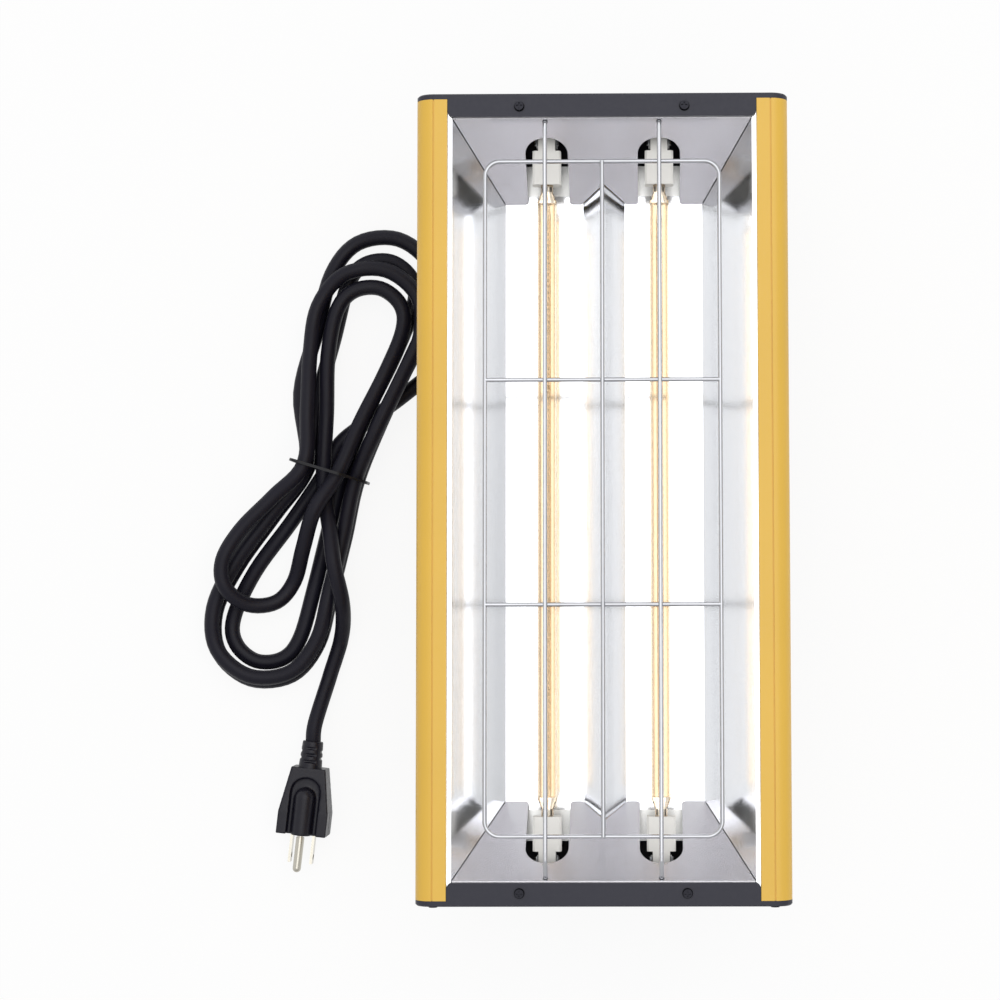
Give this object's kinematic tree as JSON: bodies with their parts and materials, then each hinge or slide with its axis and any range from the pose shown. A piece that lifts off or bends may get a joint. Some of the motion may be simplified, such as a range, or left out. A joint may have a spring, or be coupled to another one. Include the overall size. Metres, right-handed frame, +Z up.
{
  "type": "infrared curing lamp",
  "caption": "Hand-held infrared curing lamp: yellow side rails, polished reflector, quartz tubes, chrome wire guard, rear handle with rocker switches, and a hanked cord with a plug.",
  "frame": {"origin": "on the surface that the lamp lies on, under the middle of the lamp, with its cord left out", "axes": "+Z up out of the opening, +Y along the tubes towards the end that the cord leaves the handle at, +X to the right in the picture"},
  "size_m": [0.3349, 0.434, 0.142],
  "materials": {
    "yellow_paint": "satin",
    "black_paint": "satin",
    "cover_paint": "satin",
    "mirror_sheet": "polished",
    "plated_wire": "polished",
    "gold_quartz": "gloss",
    "element": "matte",
    "ceramic": "matte",
    "spring_steel": "satin",
    "bright_steel": "satin",
    "rivet": "satin",
    "handle_plastic": "matte",
    "cord_rubber": "matte",
    "switch_black": "matte",
    "rocker_red": "gloss",
    "terminal_white": "matte",
    "black_screw": "satin",
    "zinc": "satin",
    "tie_coat": "satin",
    "plug_pvc": "matte",
    "pin_brass": "polished"
  },
  "bodies": {
    "lamp": {"side_rail_left": "yellow_paint", "side_rail_right": "yellow_paint", "end_plate_top": "black_paint", "end_plate_bottom": "black_paint", "reflector_trough": "mirror_sheet", "end_reflector_top": "mirror_sheet", "end_reflector_bottom": "mirror_sheet", "wire_guard": "plated_wire", "quartz_tube_left": "gold_quartz", "quartz_tube_right": "gold_quartz", "filament_left": "element", "filament_right": "element", "lamp_ceramics_left": "ceramic", "lamp_ceramics_right": "ceramic", "holder_clips": "spring_steel", "holder_bracket_top": "bright_steel", "holder_bracket_bottom": "bright_steel", "holder_rivets": "rivet", "rear_cover": "cover_paint", "handle": "handle_plastic", "cord_boot": "cord_rubber", "switch_frames": "switch_black", "terminal_block": "terminal_white", "flange_screws": "black_screw", "flange_nuts": "zinc", "end_plate_screws": "black_screw", "cover_screws": "black_screw", "handle_screws": "black_screw", "cord_lead": "cord_rubber", "cord_hank": "cord_rubber", "cord_tail": "cord_rubber", "cord_tie": "tie_coat", "plug_body": "plug_pvc", "plug_relief": "plug_pvc", "plug_blades": "pin_brass", "plug_earth_pin": "pin_brass"},
    "left_switch": {"rocker_left": "rocker_red"},
    "right_switch": {"rocker_right": "rocker_red"}
  },
  "joints": [
    {"name": "left_rocker", "type": "hinge", "parent": "lamp", "child": "left_switch", "pos_m": [-0.046, 0.03, 0.0632], "axis": [1, 0, 0], "range_deg": [0, 24]},
    {"name": "right_rocker", "type": "hinge", "parent": "lamp", "child": "right_switch", "pos_m": [0.046, 0.03, 0.0632], "axis": [1, 0, 0], "range_deg": [0, 24]}
  ]
}
